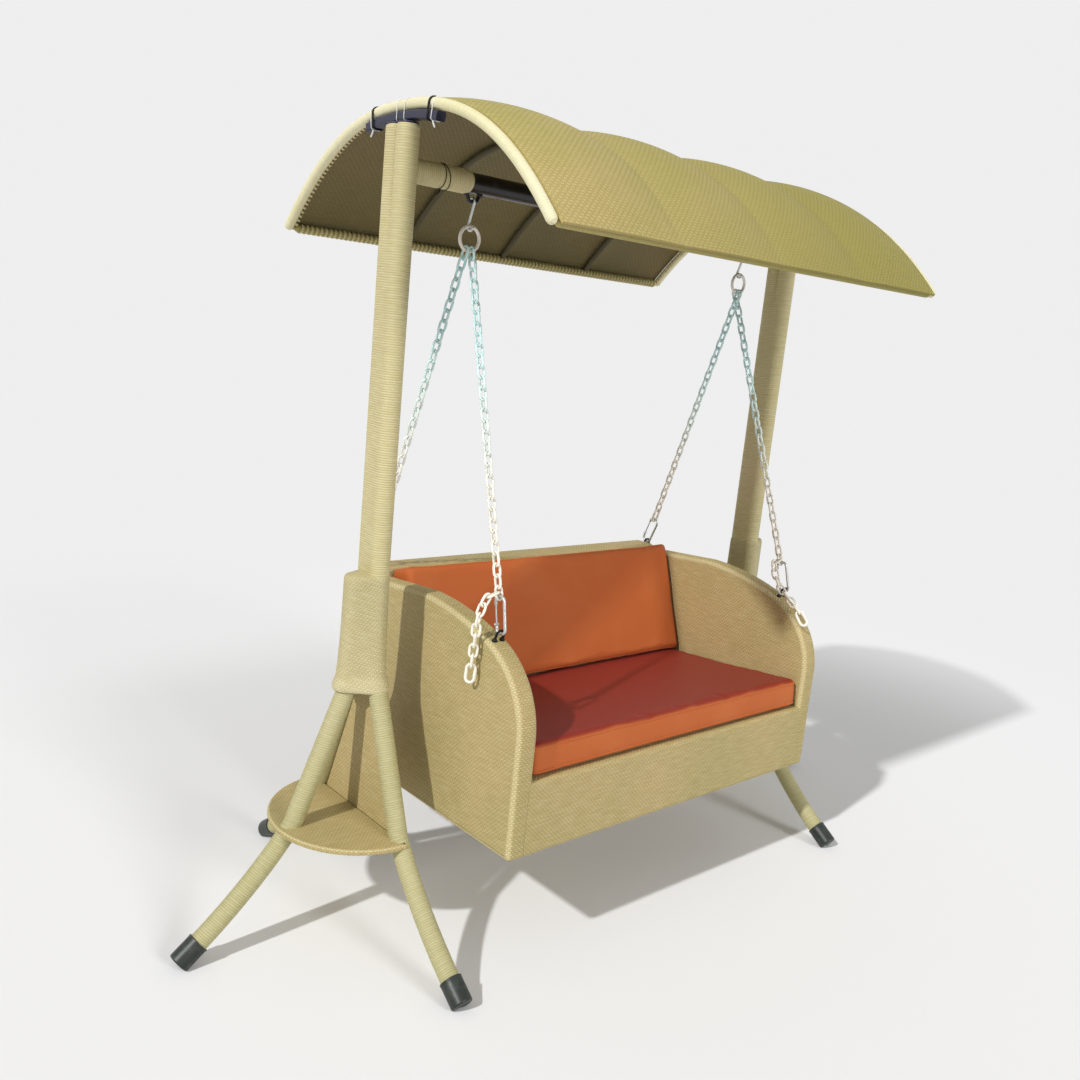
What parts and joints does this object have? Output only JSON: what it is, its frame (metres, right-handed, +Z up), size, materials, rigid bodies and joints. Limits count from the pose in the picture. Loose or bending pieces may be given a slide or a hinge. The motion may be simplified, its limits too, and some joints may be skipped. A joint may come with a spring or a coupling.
{
  "type": "jhoola swing",
  "caption": "Hanging wicker sofa with seat and back cushions, hung by chains from a crossbeam between two wicker-wrapped stands under a scalloped arched canopy.",
  "frame": {"origin": "on the ground under the middle of the crossbeam", "axes": "+X to the right along the crossbeam, seen from the front, +Y to the rear, +Z up"},
  "size_m": [2.5344, 1.1864, 2.1252],
  "materials": {
    "wicker": "woven flat resin strand, matt",
    "canopy_wicker": "fine woven resin strand, matt",
    "beam_black": "black powder coat, satin",
    "frame_steel": "dark powder coat",
    "zinc_steel": "zinc plated",
    "dark_iron": "dark wire",
    "saddle_paint": "blue black paint",
    "rubber": "moulded, matt",
    "cushion_cloth": "woven cover over foam"
  },
  "bodies": {
    "stand": {"beam_sleeves": "wicker", "canopy_edge_rails": "canopy_wicker", "canopy_ribs": "frame_steel", "canopy_ties": "dark_iron", "canopy_weave": "canopy_wicker", "crossbeam": "beam_black", "foot_caps": "rubber", "hanger_loops": "beam_black", "left_beam_stub": "frame_steel", "left_canopy_hoop": "canopy_wicker", "left_canopy_saddle": "saddle_paint", "left_collar": "wicker", "left_front_leg": "wicker", "left_niche_panel": "wicker", "left_outer_leg": "wicker", "left_post_tubes": "frame_steel", "left_post_wrap": "wicker", "left_rear_leg": "wicker", "left_shelf": "wicker", "post_caps": "saddle_paint", "right_beam_stub": "frame_steel", "right_canopy_hoop": "canopy_wicker", "right_canopy_saddle": "saddle_paint", "right_collar": "wicker", "right_front_leg": "wicker", "right_niche_panel": "wicker", "right_outer_leg": "wicker", "right_post_tubes": "frame_steel", "right_post_wrap": "wicker", "right_rear_leg": "wicker", "right_shelf": "wicker"},
    "swing_seat": {"beam_hooks": "zinc_steel", "hanger_rings": "zinc_steel", "gate_pins": "zinc_steel", "tail_top_links": "zinc_steel", "eye_staples": "dark_iron", "front_left_chain": "zinc_steel", "front_left_snap_hook": "zinc_steel", "front_right_chain": "zinc_steel", "front_right_snap_hook": "zinc_steel", "rear_left_chain": "zinc_steel", "rear_left_snap_hook": "zinc_steel", "rear_right_chain": "zinc_steel", "rear_right_snap_hook": "zinc_steel", "left_arm_weave": "wicker", "left_arm_hoop": "frame_steel", "right_arm_weave": "wicker", "right_arm_hoop": "frame_steel", "front_apron": "wicker", "seat_deck": "wicker", "back_weave": "wicker", "seat_cushion": "cushion_cloth", "back_cushion": "cushion_cloth", "seat_rails": "frame_steel"},
    "front_left_gate": {"front_left_gate": "zinc_steel"},
    "front_right_gate": {"front_right_gate": "zinc_steel"},
    "rear_left_gate": {"rear_left_gate": "zinc_steel"},
    "rear_right_gate": {"rear_right_gate": "zinc_steel"},
    "left_chain_tail": {"left_chain_tail": "zinc_steel"},
    "right_chain_tail": {"right_chain_tail": "zinc_steel"}
  },
  "joints": [
    {"name": "seat_swing", "type": "hinge", "parent": "stand", "child": "swing_seat", "pos_m": [0, 0, 1.9], "axis": [1, 0, 0], "range_deg": [-30, 30]},
    {"name": "front_left_gate_hinge", "type": "hinge", "parent": "swing_seat", "child": "front_left_gate", "pos_m": [-0.58563, -0.29692, 0.87932], "axis": [0.9986, -0.0171, -0.0494], "range_deg": [0, 20], "stiffness_Nm_per_rad": 0.05, "springref_deg": -28.65},
    {"name": "rear_left_gate_hinge", "type": "hinge", "parent": "swing_seat", "child": "rear_left_gate", "pos_m": [-0.58592, 0.30623, 0.91987], "axis": [0.9994, 0.0112, -0.0331], "range_deg": [0, 20], "stiffness_Nm_per_rad": 0.05, "springref_deg": -28.65},
    {"name": "front_right_gate_hinge", "type": "hinge", "parent": "swing_seat", "child": "front_right_gate", "pos_m": [0.58563, -0.29692, 0.87932], "axis": [0.9986, 0.0171, 0.0494], "range_deg": [0, 20], "stiffness_Nm_per_rad": 0.05, "springref_deg": -28.65},
    {"name": "rear_right_gate_hinge", "type": "hinge", "parent": "swing_seat", "child": "rear_right_gate", "pos_m": [0.58592, 0.30623, 0.91987], "axis": [0.9994, -0.0112, 0.0331], "range_deg": [0, 20], "stiffness_Nm_per_rad": 0.05, "springref_deg": -28.65},
    {"name": "left_tail_swing", "type": "hinge", "parent": "swing_seat", "child": "left_chain_tail", "pos_m": [-0.6136, -0.28427, 0.95051], "axis": [1, 0, 0], "range_deg": [-18, 12]},
    {"name": "right_tail_lift", "type": "hinge", "parent": "swing_seat", "child": "right_chain_tail", "pos_m": [0.54796, -0.28688, 0.95104], "axis": [-1, 0, 0], "range_deg": [0, 30]}
  ]
}
